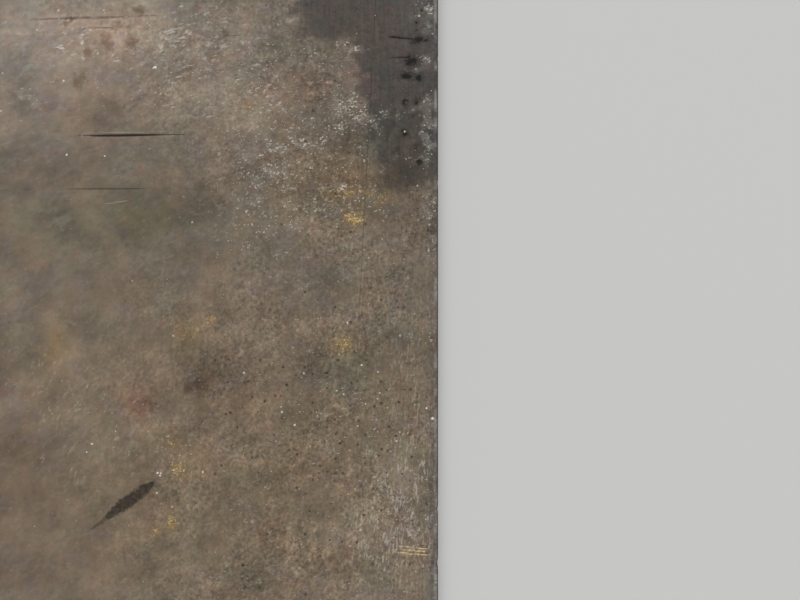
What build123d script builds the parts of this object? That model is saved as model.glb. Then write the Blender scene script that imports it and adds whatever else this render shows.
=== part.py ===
from build123d import *
import os

# One plate of hot rolled steel, sheared to size on its four sides and lying flat
# X runs across the width, Y along the length, which is the rolling direction, and Z up
# The origin is the middle of the bottom face

# Size of the plate in millimetres
plate_width = 1300.0
plate_length = 2438.4
plate_thickness = 6.35

# Section of a sheared side, from the top face down
# The blade first draws the top corner down, then cuts a smooth upright land,
# and at last the steel tears and the tear leans in under the land
roll_over_width = 2.4
roll_over_depth = 0.9
land_radius = 0.5
land_height = 2.0
tear_lean = 0.5
# The last of the tear stands upright again where the lower blade bit the bottom face
heel_height = 0.35


def sheared_section(span):
    """Draw the section of a plate that is span wide, with both its sides sheared."""
    half = span / 2
    land_top = plate_thickness - roll_over_depth
    land_bottom = land_top - land_height
    with BuildLine() as outline:
        top_line = Line((0, plate_thickness), (half - roll_over_width, plate_thickness))
        # The drawn-down corner leaves the top face without a break
        TangentArc(top_line @ 1, (half, land_top), tangent=top_line % 1)
        Polyline(
            (half, land_top),
            (half, land_bottom),
            (half - tear_lean, heel_height),
            (half - tear_lean, 0),
            (0, 0),
        )
        # It turns into the land over a small radius
        outermost = outline.vertices().group_by(Axis.X)[-1]
        fillet(outermost.sort_by(Axis.Y)[-1], land_radius)
        mirror(about=Plane.YZ)
    make_face(outline.edges())


with BuildPart() as steel_plate:
    # The long sides are one section, drawn across the width and run along the length
    with BuildSketch(Plane.XZ.offset(-plate_length / 2)):
        sheared_section(plate_width)
    extrude(amount=plate_length)
    # The ends have the same section, and the two meet in mitres at the square corners
    with BuildSketch(Plane.YZ.offset(-plate_width / 2)):
        sheared_section(plate_length)
    extrude(amount=plate_width, mode=Mode.INTERSECT)

steel_plate.part.label = "steel_plate"

os.makedirs("parts", exist_ok=True)
export_step(steel_plate.part, "parts/steel_plate.step")

box = steel_plate.part.bounding_box()
print("plate", box.size.X, box.size.Y, box.size.Z, "mm")
print("volume", steel_plate.part.volume / 1e9, "cubic metres")
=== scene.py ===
# %% [markdown]
# # A plate of hot rolled steel
# The piece is plain raw stock: one plate, rolled hot, cooled under its own dark scale, and
# sheared to size. Its shape says little, so nearly all of its character is in the skin: brown
# and slate patches of scale, a first bloom of rust, pale dust, drips near the edge, and the
# scratches of being dragged about. We start from the plate as it was drawn, because its size
# and its place must stay as they are, and we only give it a better surface.

# %% Load the plate that the looks are built around
import math
from functools import partial, reduce

import bmesh
import bpy
import numpy as np
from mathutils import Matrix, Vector, noise


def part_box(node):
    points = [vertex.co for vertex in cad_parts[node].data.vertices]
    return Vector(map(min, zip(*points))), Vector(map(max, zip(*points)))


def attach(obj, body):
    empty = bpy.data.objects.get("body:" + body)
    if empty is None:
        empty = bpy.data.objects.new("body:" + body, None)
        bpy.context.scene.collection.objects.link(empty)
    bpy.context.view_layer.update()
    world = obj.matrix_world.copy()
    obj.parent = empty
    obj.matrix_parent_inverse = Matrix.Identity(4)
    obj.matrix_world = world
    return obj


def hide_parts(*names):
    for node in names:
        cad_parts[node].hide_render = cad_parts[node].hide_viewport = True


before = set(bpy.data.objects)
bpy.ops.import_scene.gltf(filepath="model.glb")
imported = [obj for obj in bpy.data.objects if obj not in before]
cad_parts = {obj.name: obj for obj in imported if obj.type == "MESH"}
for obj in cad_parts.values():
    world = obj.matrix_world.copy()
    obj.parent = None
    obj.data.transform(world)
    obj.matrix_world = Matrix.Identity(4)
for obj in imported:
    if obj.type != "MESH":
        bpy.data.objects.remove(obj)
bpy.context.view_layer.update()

plate_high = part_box("steel_plate")[1]
MM = 0.001
half_width = plate_high.x
half_length = plate_high.y
top_z = plate_high.z
print("plate half width, half length and thickness in m:", half_width, half_length, top_z)

# %% [markdown]
# ## The camera
# The picture that we work towards was taken from straight above, close to one long sheared
# side, and a pixel of it covers about half a millimetre of steel. So the camera hangs over the
# edge and looks straight down, as high up as its lens needs to take in 800 such pixels. It has
# no shift and no blur.

# %% Hang the camera over the sheared side
PHOTO_WIDTH = 800
PIXEL = 0.529 * MM
EDGE_COLUMN = 438.3
LENS, SENSOR = 27.0, 36.0


def put_in_scene(name, data):
    """Put a camera, a lamp or a mesh into the scene as an object of that name."""
    made = bpy.data.objects.new(name, data)
    bpy.context.scene.collection.objects.link(made)
    return made


camera_height = PHOTO_WIDTH * PIXEL * LENS / SENSOR
camera_x = half_width - (EDGE_COLUMN - PHOTO_WIDTH / 2) * PIXEL

camera_data = bpy.data.cameras.new("camera")
camera_data.lens = LENS
camera_data.sensor_width = SENSOR
camera_data.clip_start = 0.01
camera = put_in_scene("camera", camera_data)
camera.location = (camera_x, 0, top_z + camera_height)
bpy.context.scene.camera = camera
print("camera at x", round(camera_x, 4), "and", round(camera_height, 4), "m above the top face")

# %% [markdown]
# ## Light
# Steel with a dull oxide skin wants broad, even light. An area lamp would be bright in the
# middle of a plate this long and dim at its ends, so we use suns with a wide disc: they light
# every part alike and still give soft shadows. The key leans in from the far side and a little
# from the right, the fill from the near left, and the world fills the rest. Their shares add up
# to one, so a colour comes out of the render about as it was written.

# %% Set soft suns and an even world
KEY_SHARE, FILL_SHARE, WORLD_SHARE = 0.44, 0.16, 0.40


def soft_sun(name, share, towards, lean, disc):
    """A sun that leans over by lean degrees towards a compass angle, and gives share of the light."""
    data = bpy.data.lights.new(name, "SUN")
    data.energy = share * math.pi / math.cos(math.radians(lean))
    data.angle = math.radians(disc)
    sun = put_in_scene(name, data)
    sun.rotation_euler = (math.radians(lean), 0, math.radians(towards))
    print(name, "strength", round(data.energy, 3))


soft_sun("key light", KEY_SHARE, towards=160, lean=48, disc=26)
soft_sun("fill light", FILL_SHARE, towards=-40, lean=40, disc=50)

world = bpy.data.worlds.new("even light")
world.use_nodes = True
sky = world.node_tree.nodes["Background"].inputs
sky["Color"].default_value = (1, 1, 1, 1)
sky["Strength"].default_value = WORLD_SHARE
bpy.context.scene.world = world
bpy.context.scene.view_settings.view_transform = "Standard"

# %% [markdown]
# ## Where the marks are
# A patch of this plate, about 230 by 320 mm, is known mark by mark. We write each mark the way
# a fitter would call it out: so many millimetres in from the sheared side, and so many up or
# down from the middle of the plate. Everything else on the plate gets marks of the same kinds
# from a seeded draw, so the same plate comes out every time.

# %% Call out the marks, in mm in from the sheared side and mm along from the middle
KNOWN_ACROSS, KNOWN_ALONG = 245, 172

# Small dark pits in the scale
PITS = [
    (69.0, -34.9), (59.0, -38.6), (66.4, -39.2), (53.2, -31.7), (100.8, -42.9), (80.2, -45.0),
    (91.8, -53.4), (112.4, -60.3), (58.5, -62.4), (78.0, -66.7), (33.6, -56.1), (20.9, -54.0),
    (78.0, -74.1), (42.6, -76.2), (52.1, -75.7), (74.9, -81.5), (31.5, -82.5), (70.1, -102.6),
    (68.0, -111.6), (39.4, -113.8), (31.5, -115.9), (57.4, -127.0), (43.1, -128.0),
    (103.4, -140.2), (100.3, -148.1), (74.9, -92.1), (38.9, 40.2), (51.1, 33.9), (5.6, 36.5),
]

# Black drips near the sheared side: place, reach across and reach along
DRIP_HEADS = [
    (11.0, 137.6, 3.5, 2.6), (14.1, 126.4, 3.7, 2.9), (16.5, 118.6, 4.3, 2.0), (10.2, 117.3, 2.1, 2.0),
    (6.9, 137.3, 1.5, 0.9), (24.0, 139.1, 2.2, 0.6),
]
# The thin tails of some drips, from end to end, and their half width
DRIP_TAILS = [(12.0, 137.9, 27.2, 139.3, 0.75), (15.0, 128.2, 27.5, 128.7, 0.48)]
# Dried rings: place, radius, half width of the ring, and how faint it is
DRIP_RINGS = [
    (17.4, 104.6, 1.1, 1.8, 0.65), (17.7, 88.9, 1.2, 1.7, 0.55), (12.4, 80.6, 0.9, 1.7, 0.75),
    (10.0, 73.1, 1.0, 1.6, 0.70), (21.5, 80.0, 0.5, 1.7, 0.85), (13.5, 97.0, 0.5, 1.5, 0.90),
    (11.6, 104.8, 0.3, 2.0, 0.60), (8.6, 153.0, 0.2, 1.4, 0.60), (11.5, 146.8, 0.2, 1.5, 0.55),
    (11.8, 142.4, 0.1, 1.1, 0.50), (30.5, 141.5, 0.1, 1.2, 0.70),
]

# Bright nicks where the scale has chipped off
NICKS = [
    (212.4, 142.9), (177.0, 153.4), (196.6, 76.7), (176.5, 76.2), (102.9, -38.6),
    (32.0, -38.1), (40.5, -34.4), (53.7, -48.1), (31.0, -49.2), (38.4, -55.0), (82.8, -59.3),
    (75.9, -66.1), (42.6, -66.7), (22.0, -74.6), (6.1, -57.1), (47.9, -12.2), (148.9, -102.1),
    (124.6, -91.0), (186.0, -80.4), (183.3, -76.2), (17.7, 89.2), (188.6, 86.9), (150.8, 122.8),
    (196.6, 76.9), (148.7, -91.4), (147.2, -92.9), (146.8, -91.6),
]
BIG_NICKS = [(149.6, 123.4), (198.2, 116.0), (3.1, -62.7)]

# Strokes that cut the surface: both ends, half width, and how deep
GOUGE = (182.3, -121.2, 151.3, -97.4, 3.3, 0.30)
LONG_SCRATCH = (191.0, 87.0, 133.6, 87.6, 0.85, 0.12)
SHORT_SCRATCH = (196.5, 58.7, 155.0, 58.9, 0.9, 0.08)
SCRIBED_LINE = (30.0, 222.0, 43.6, -40.0, 0.28, 0.06)
CUTS = [GOUGE, LONG_SCRATCH, SHORT_SCRATCH, SCRIBED_LINE]
# The middle of the long scratch is the darkest
SCRATCH_CORE = (184.5, 86.8, 147.0, 87.4, 0.85)
# The stain that the gouge left: a broad belly and a thin fainter tail
GOUGE_BELLY = (176.0, -115.4, 150.4, -96.4, 3.7)
GOUGE_TAIL = (184.0, -121.6, 160.0, -104.0, 1.5)
# Strokes that only left a colour: brown streaks, dark ones, pale ones, and scuffs at the side
BROWN_STREAKS = [(213.0, 148.5, 171.0, 149.9, 1.2), (188.0, 148.9, 148.0, 150.6, 0.9)]
DARK_STREAKS = [
    (113.5, 139.9, 104.5, 140.0, 0.6), (93.5, 134.4, 84.5, 134.6, 0.6), (184.0, 143.8, 172.0, 144.2, 0.8),
    (34.0, 138.0, 33.8, 146.0, 0.7), (75.0, 151.0, 64.0, 151.4, 0.5),
]
PALE_STREAKS = [
    (177.0, 50.8, 164.0, 52.6, 0.6), (186.0, 145.6, 172.0, 144.6, 0.7), (182.5, 147.9, 168.0, 148.5, 0.5),
    (26.5, -104.0, 17.0, -105.2, 0.40), (24.0, -106.0, 13.5, -107.5, 0.45), (189.0, 88.4, 150.0, 88.9, 0.4),
    (212.0, 142.3, 206.0, 142.8, 0.7), (222.0, 107.6, 215.0, 108.4, 0.7),
]
GOLDEN_STREAKS = [
    (21.0, -130.2, 11.0, -130.9, 0.5), (19.0, -132.0, 5.0, -133.3, 0.65), (18.5, -134.3, 4.5, -134.9, 0.6),
    (11.5, -131.3, 5.0, -131.7, 0.5), (22.0, -133.4, 15.5, -133.9, 0.4),
]


def on_plate(across, along):
    """The place on the plate of a mark, in metres."""
    return half_width - across * MM, along * MM


print(len(PITS), "pits,", len(DRIP_HEADS), "drips,", len(NICKS + BIG_NICKS), "nicks and", len(CUTS), "cuts")

# %% [markdown]
# ## The body of the plate
# A box would do for the shape, but a box has no points to carry marks. So the top face starts as
# an even grid, one ring short of the edge. Cells of 20 mm are fine for bare steel, and far too
# coarse for a pit of 2 mm. Making all of it fine would take millions of faces, so we halve the
# cells again and again, each time only near the marks, which is what a mesh maker calls
# refinement.

# %% Lay out the top face as a grid of even cells
ROLL_OVER = 2.4 * MM
SKIN_RELIEF = 0.05 * MM
CELL = 20 * MM

skin_z = top_z - SKIN_RELIEF
grid_half_width = half_width - ROLL_OVER
grid_half_length = half_length - ROLL_OVER
columns = round(2 * grid_half_width / CELL)
rows = round(2 * grid_half_length / CELL)

plate_mesh = bmesh.new()
bmesh.ops.create_grid(plate_mesh, x_segments=columns, y_segments=rows, size=1)
bmesh.ops.scale(plate_mesh, vec=(grid_half_width, grid_half_length, 1), verts=plate_mesh.verts)
bmesh.ops.translate(plate_mesh, vec=(0, 0, skin_z), verts=plate_mesh.verts)
print("the grid has", len(plate_mesh.faces), "cells")


# %% Find how far points lie from strokes and spots
def stroke(across_a, along_a, across_b, along_b, half):
    """A stroke on the plate as one row: both ends and the half width, in metres."""
    return (*on_plate(across_a, along_a), *on_plate(across_b, along_b), half * MM)


def spot(across, along, radius):
    """A spot is a stroke that ends where it starts."""
    return stroke(across, along, across, along, radius)


def along_and_off(points, mark):
    """How far along a stroke each point lies, from 0 to 1, and how far off it, in metres."""
    start, end = np.array(mark[0:2]), np.array(mark[2:4])
    run = end - start
    run_squared = max(float(run @ run), 1e-12)
    share = np.clip((points - start) @ run / run_squared, 0, 1)
    nearest = start + share[:, None] * run
    return share, np.linalg.norm(points - nearest, axis=1)


def gap_to(points, marks):
    """The distance from each point to the nearest rim of any of the marks, in metres."""
    best = np.full(len(points), np.inf)
    for mark in marks:
        best = np.minimum(best, along_and_off(points, mark)[1] - mark[4])
    return best


gouge = stroke(*GOUGE[:5])
print("the gouge is", round(math.dist(gouge[0:2], gouge[2:4]) / MM, 1), "mm long")

# %% Draw the marks of the rest of the plate from a seed
GOUGES_ELSEWHERE, PITS_ELSEWHERE = 30, 70
RIM_CLEARANCE = 12
LEVEL_SHARE, LEVEL_SWAY, ANY_ANGLE = 0.6, 0.12, 6.3
GOUGE_REACH, GOUGE_HALF_WIDTH, WILD_PIT_RADIUS = (14, 85), (0.6, 1.7), (0.9, 2.2)

draw = np.random.default_rng(31)


def anywhere():
    """A place on the plate that isn't in the known patch, in mm in from the side and along."""
    while True:
        across = draw.uniform(RIM_CLEARANCE, 2 * half_width / MM - RIM_CLEARANCE)
        along = draw.uniform(-half_length / MM + RIM_CLEARANCE, half_length / MM - RIM_CLEARANCE)
        if across > KNOWN_ACROSS or abs(along) > KNOWN_ALONG:
            return across, along


gouges_elsewhere = []
for _ in range(GOUGES_ELSEWHERE):
    across, along = anywhere()
    # Most of them run nearly across the plate, the way it is dragged off a stack
    if draw.random() < LEVEL_SHARE:
        angle = draw.choice([0, math.pi]) + draw.normal(0, LEVEL_SWAY)
    else:
        angle = draw.uniform(0, ANY_ANGLE)
    reach = draw.uniform(*GOUGE_REACH)
    end = (across + reach * math.cos(angle), along + reach * math.sin(angle))
    gouges_elsewhere.append(stroke(across, along, *end, draw.uniform(*GOUGE_HALF_WIDTH)))
pits_elsewhere = [spot(*anywhere(), draw.uniform(*WILD_PIT_RADIUS)) for _ in range(PITS_ELSEWHERE)]
print(len(gouges_elsewhere), "gouges and", len(pits_elsewhere), "pits on the rest of the plate")

# %% Gather the marks that need fine cells and those that do with coarser ones
PIT_RADIUS, NICK_RADIUS, BIG_NICK_RADIUS = 1.05, 0.75, 1.1

pits = [spot(*place, PIT_RADIUS) for place in PITS]
drips = [spot(*head[:2], max(head[2:])) for head in DRIP_HEADS]
drips += [spot(*ring[:2], ring[2] + ring[3]) for ring in DRIP_RINGS]
drips += [stroke(*tail) for tail in DRIP_TAILS]
nicks = [spot(*place, NICK_RADIUS) for place in NICKS]
nicks += [spot(*place, BIG_NICK_RADIUS) for place in BIG_NICKS]
fine_marks = pits + drips + nicks + [stroke(*cut[:5]) for cut in CUTS]
coarse_marks = gouges_elsewhere + pits_elsewhere
print(len(fine_marks), "marks need fine cells, and", len(coarse_marks), "do with coarser ones")


# %% Make the tests that say which cells are halved, and the tool that halves them
def known_gap(points):
    """How far each point lies outside the known patch, in metres. It is below 0 inside."""
    across = (half_width - points[:, 0]) - KNOWN_ACROSS * MM
    along = np.abs(points[:, 1]) - KNOWN_ALONG * MM
    return np.maximum(across, along)


def rim_gap(points):
    """How far each point lies from the nearest side of the plate, in metres."""
    return np.minimum(half_width - np.abs(points[:, 0]), half_length - np.abs(points[:, 1]))


def halve_cells(cell, near):
    """Cut each square cell of that size in four where near says that its middle is close enough."""
    squares = [face for face in plate_mesh.faces if len(face.verts) == 4]
    # Cells of the next size down have a side of half a cell, and are left out
    squares = [face for face in squares if face.calc_area() > (0.7 * cell) ** 2]
    middles = np.array([face.calc_center_median()[:2] for face in squares])
    chosen = [face for face, wanted in zip(squares, near(middles)) if wanted]
    edges = {edge for face in chosen for edge in face.edges}
    bmesh.ops.subdivide_edges(plate_mesh, edges=list(edges), cuts=1, use_grid_fill=True)
    print("cells of", round(cell / MM, 2), "mm:", len(chosen), "cut,", len(plate_mesh.faces), "faces")


# How many cells past its rim a mark has cells cut
FINE_REACH = 2.2


def close_to(marks, cell):
    """A test that says which points lie close enough to one of the marks."""
    return lambda points: gap_to(points, marks) < FINE_REACH * cell


# %% Halve the cells near the marks, again and again
halve_cells(CELL, lambda at: (known_gap(at) < 2 * CELL) | (rim_gap(at) < 2 * CELL)
            | close_to(coarse_marks, CELL)(at))
halve_cells(CELL / 2, lambda at: (known_gap(at) < CELL) | (rim_gap(at) < CELL / 2)
            | close_to(coarse_marks, CELL / 2)(at))
halve_cells(CELL / 4, lambda at: close_to(coarse_marks, CELL / 4)(at) | (known_gap(at) < 0))
halve_cells(CELL / 8, lambda at: close_to(fine_marks, CELL / 8)(at) | close_to(coarse_marks, 0)(at)
            | ((rim_gap(at) < CELL / 5) & (known_gap(at) < 0)))
halve_cells(CELL / 16, lambda at: close_to(fine_marks, CELL / 16)(at))

# %% [markdown]
# ## Press the marks into the steel
# A pit, a gouge or a scratch is a real hollow, so its points move down. The hollow is deepest in
# the middle and runs out at the rim, and a gouge also pushes up a lip on both sides. That lip
# must not stand above the drawn plate, which is why the whole skin was laid a little lower.

# %% Shape a hollow and a furrow
PIT_DEPTH, NICK_DEPTH, DRIP_DEPTH = 0.12 * MM, 0.05 * MM, 0.03 * MM
# The lip beside a cut: its height as a share of the depth, and its place and width in half widths
LIP_SHARE, LIP_PLACE, LIP_WIDTH = 0.16, 1.25, 0.25
WILD_GOUGE_SLOPE = 0.12
# No lip rises further than this out of the skin, so none stands above the drawn plate
HIGHEST_LIP = 0.9 * SKIN_RELIEF


def hollow(points, mark, depth):
    """How far a round hollow presses each point down."""
    off = along_and_off(points, mark)[1] / mark[4]
    return depth * np.clip(1 - off ** 2, 0, 1) ** 1.5


def even_taper(share):
    """The width of a scratch along its length: it comes to a point at both ends."""
    return np.maximum(np.sin(np.pi * share) ** 0.6, 0.15)


def gouge_taper(share):
    """The width of a gouge: a thin tail where it set in, then a broad belly, then a blunt end."""
    tail = 0.24 * np.sin(np.pi * share) ** 0.4
    belly = np.sin(np.pi * share ** 1.6) ** 0.8
    return np.maximum(np.maximum(tail, belly), 0.02)


def furrow(points, mark, depth, taper):
    """How far a cut presses each point down, with a lip on both sides."""
    share, off = along_and_off(points, mark)
    width = taper(np.clip(share, 0.001, 0.999))
    off = off / (mark[4] * width)
    lip = LIP_SHARE * np.exp(-((off - LIP_PLACE) / LIP_WIDTH) ** 2)
    return depth * width * (np.clip(1 - off ** 2, 0, 1) - lip)


# %% Move the points of the top face down into the marks
top_points = np.array([vertex.co[:2] for vertex in plate_mesh.verts])
pressed = np.zeros(len(top_points))
for marks, depth in ((pits + pits_elsewhere, PIT_DEPTH), (nicks, NICK_DEPTH), (drips, DRIP_DEPTH)):
    for mark in marks:
        pressed = np.maximum(pressed, hollow(top_points, mark, depth))
for cut in CUTS:
    taper = gouge_taper if cut is GOUGE else even_taper
    pressed += furrow(top_points, stroke(*cut[:5]), cut[5] * MM, taper)
for mark in gouges_elsewhere:
    pressed += furrow(top_points, mark, WILD_GOUGE_SLOPE * mark[4], gouge_taper)
pressed = np.maximum(pressed, -HIGHEST_LIP)
for vertex, drop in zip(plate_mesh.verts, pressed):
    vertex.co.z -= drop
print("deepest mark", round(pressed.max() / MM, 3), "mm, highest lip", round(-pressed.min() / MM, 3), "mm")

# %% [markdown]
# ## The sheared side
# A shear doesn't cut through. The blade first draws the top corner down, then slices a smooth
# upright land, and then the steel tears, leaving a rough face that leans in to a small burr at
# the bottom. We run that section round the plate by extruding the rim of the grid ring by ring.
# Each ring wanders a little, the tear most of all, so no two stretches of the side are alike.

# %% Write down the rings of the sheared section, and its chips
BLADE_WANDER, TEAR_WANDER = 18 * MM, 3.2 * MM
# Noise seldom comes near -1 and 1, so it is raised, and every ring reads it in another place
NOISE_GAIN, RING_STEP = 1.6, 3.7

# Each ring of the section, from the top down: how far it lies in from the side and down from
# the top face, and how far it wanders in and down, all in mm
SHEARED_RINGS = [
    (1.55, 0.15, 0.03, 0.02),
    (0.85, 0.36, 0.06, 0.03),
    (0.30, 0.68, 0.08, 0.05),
    (0.06, 1.05, 0.03, 0.06),
    (0.04, 1.90, 0.03, 0.10),
    (0.05, 2.85, 0.04, 0.38),
    (0.22, 3.15, 0.10, 0.30),
    (0.36, 4.00, 0.16, 0.20),
    (0.48, 4.90, 0.16, 0.20),
    (0.52, 5.75, 0.12, 0.12),
    (0.34, 6.18, 0.18, 0.05),
    (0.60, 6.35, 0.10, 0.00),
]
# The bare steel starts at this ring, and chips only reach the rings above that one
FIRST_LAND_RING, FIRST_WHOLE_RING = 4, 6
# Chips that a knock took out of the sheared side, mm along, and how far in and how wide
CHIPS = [(-111.0, 0.45, 2.2), (-139.6, 0.6, 3.0), (62.0, 0.35, 2.0), (128.0, 0.3, 1.6)]
print(len(SHEARED_RINGS), "rings and", len(CHIPS), "chips")


# %% Let the rings wander, and let the chips bite in
def wander(point, reach, ring, seed):
    """A smooth random value from about -1 to 1 that changes over that reach."""
    here = Vector((point.x / reach, point.y / reach, RING_STEP * ring + seed))
    return NOISE_GAIN * noise.noise(here)


def chipped(point):
    """How much a chip takes off the known sheared side here, in metres."""
    if point.x < 0:
        return 0
    return sum(deep * MM * math.exp(-((point.y / MM - along) / (wide / 2)) ** 2)
               for along, deep, wide in CHIPS)


# %% Run the sheared section down all four sides
# A point of the rim belongs to a side when it lies this close to it
SIDE_TOLERANCE = 0.4 * MM
DOWN_SEED = 50

rim_edges = [edge for edge in plate_mesh.edges if edge.is_boundary]
for ring, (inset, down, wander_in, wander_down) in enumerate(SHEARED_RINGS):
    made = bmesh.ops.extrude_edge_only(plate_mesh, edges=rim_edges)["geom"]
    rim_edges = [item for item in made if isinstance(item, bmesh.types.BMEdge) and item.is_boundary]
    reach = TEAR_WANDER if ring > FIRST_LAND_RING else BLADE_WANDER
    sheared = FIRST_LAND_RING <= ring < len(SHEARED_RINGS) - 1
    for face in (item for item in made if isinstance(item, bmesh.types.BMFace)):
        face.material_index = 1 if sheared else 0
    for vertex in (item for item in made if isinstance(item, bmesh.types.BMVert)):
        place = vertex.co.copy()
        into = inset * MM + wander_in * MM * wander(place, reach, ring, 0)
        into = max(into, 0) + (chipped(place) if ring < FIRST_WHOLE_RING else 0)
        if abs(place.x) > grid_half_width - SIDE_TOLERANCE:
            vertex.co.x = math.copysign(half_width - into, place.x)
        if abs(place.y) > grid_half_length - SIDE_TOLERANCE:
            vertex.co.y = math.copysign(half_length - into, place.y)
        drop = down * MM + wander_down * MM * wander(place, reach, ring, DOWN_SEED)
        vertex.co.z = max(top_z - drop, 0)
bmesh.ops.contextual_create(plate_mesh, geom=rim_edges)
bmesh.ops.recalc_face_normals(plate_mesh, faces=plate_mesh.faces)
print("the closed plate has", len(plate_mesh.faces), "faces and",
      sum(edge.is_boundary for edge in plate_mesh.edges), "open edges")

# %% Make the mesh an object
SHARP_ANGLE = 38

plate_data = bpy.data.meshes.new("rolled plate")
plate_mesh.to_mesh(plate_data)
plate_mesh.free()
plate_data.shade_smooth()
plate_data.set_sharp_from_angle(angle=math.radians(SHARP_ANGLE))
# The underside is one wide face, and its shading must not blend into the burr round it
underside = max(plate_data.polygons, key=lambda face: face.loop_total)
underside.use_smooth = False
plate = put_in_scene("rolled_plate", plate_data)
plate_data.calc_loop_triangles()
print("triangles:", len(plate_data.loop_triangles))

# %% [markdown]
# ## Paint the plate's story onto its points
# Where the rust has started, where dust lies and where the scale is worn to slate is not random:
# it has places. We could model each place in the shader, but dozens of them would make it slow
# and hard to read. Instead every point of the mesh carries a few numbers, one for each kind of
# weathering. Soft things change so slowly that cells of 5 mm hold them well. For things with a
# crisp rim we store how deep inside the rim a point lies, not just in or out. The shader then
# cuts that slope at zero, which gives a crisp line even between points that are far apart.

# %% List the soft patches, in mm: across, along, reach across, reach along, amount
CHALK = [
    (46.3, 132.8, 7, 3.5, 1.4), (52, 110, 6, 9, 0.8), (44.7, 101.5, 8, 7, 1.6), (54, 93.5, 12, 3.5, 0.9),
    (66, 87.5, 8, 6, 0.8), (90.7, 73.5, 12, 12, 0.7), (32.5, 91.5, 6, 4, 0.7), (8.5, 127, 7, 3, 1.4),
    (6, 155.6, 7, 6, 1.6), (5, 85, 5, 16, 1.1), (14, 76, 9, 3, 0.6), (4, 32, 3.5, 14, 0.8),
    (4, 145, 6, 2.2, 1.1), (8, 141, 4, 2, 1.0), (19, 135.5, 2, 2, 0.7), (20.5, 125.5, 3, 1.5, 0.9),
    (14, 121.5, 5, 3, 0.8), (14, 111, 8, 5, 0.7), (6, 106, 5, 4, 0.6), (30, 101, 6, 5, 0.6),
    (18, 99, 8, 4, 0.6), (10, 88, 8, 9, 0.45), (28, 86, 5, 12, 0.3),
    (100, 112, 24, 18, 0.55), (74, 132, 20, 9, 0.5), (75, 80, 36, 22, 0.5), (48, 50, 26, 10, 0.5),
    (92, 45, 24, 22, 0.5), (130, 135, 26, 20, 0.4), (180, 125, 30, 30, 0.2), (20, -115, 22, 26, 0.55),
    (40, -60, 40, 34, 0.25), (49, 59.8, 11, 1.8, 1.1), (4, 50, 3.5, 8, 1.0),
]
RUST = [
    (44.2, 43.4, 5.5, 3.4, 1.6), (50.5, 56.5, 12, 2.8, 0.8), (30.4, 54, 7, 4, 0.6), (49.5, 66, 14, 8, 0.35),
    (101.3, 102.6, 3, 3, 0.9), (202, 116.2, 5, 3, 0.5), (119.8, -11.1, 2.6, 2.2, 1.4),
    (50.5, -23.8, 5, 4, 0.9), (140.5, -117.5, 3, 5, 1.4), (150, -121.7, 3, 3, 1.0), (137, -89, 6, 6, 1.0),
    (141.5, -76, 6, 5, 0.8), (132, -18.5, 7, 5, 0.30), (203, -24, 5, 9, 0.30), (14, -133, 9, 3, 0.4),
    (40, 62, 50, 26, 0.12), (60, -60, 70, 60, 0.10),
]
# Places rubbed by short pale strokes
SCUFFED = [
    (195, 138, 9, 12, 0.9), (219, 108, 7, 3.5, 0.8), (203, 116, 5, 4, 0.6), (186, 142, 8, 5, 0.6),
    (142, 141, 12, 9, 1.3), (143, 108, 8, 9, 0.9), (115, 140, 12, 14, 1.0), (114, 103, 10, 7, 0.9),
    (128, 122, 14, 12, 0.6), (170, 128, 14, 10, 0.4),
    (114, 80, 12, 12, 0.7), (110, 50, 10, 14, 0.7), (96, 106, 14, 20, 0.7), (65, 112, 20, 20, 0.5),
    (197, -66, 16, 26, 0.8), (157, -56, 6, 8, 0.6), (136, -83, 12, 9, 0.7), (108, -42, 12, 20, 0.4),
    (166, -77, 14, 8, 0.6), (200, -36, 18, 12, 0.4), (226, -42, 6, 6, 0.5), (8, 148, 10, 9, 0.8),
    (14, 112, 10, 10, 0.6), (10, 88, 10, 14, 0.8),
]
GRITTY = [(185, 140, 36, 22, 0.25), (150, 122, 26, 36, 0.25), (140, -80, 20, 20, 0.3)]
BRUSHED = [
    (17, -112, 18, 34, 1.4), (34, -124, 15, 26, 1.0), (12, -66, 12, 34, 0.5), (30, -20, 24, 30, 0.35),
    (13.5, -108.5, 2.6, 1.4, 1.6), (16, -124, 4, 5, 0.6),
]
SPECKLED = [(68, -50, 45, 22, 1.0), (60, -78, 40, 22, 0.8), (60, -120, 50, 30, 0.4), (30, -70, 30, 40, 0.5)]
print(len(CHALK + RUST + SCUFFED + GRITTY + BRUSHED + SPECKLED), "soft patches")

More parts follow.
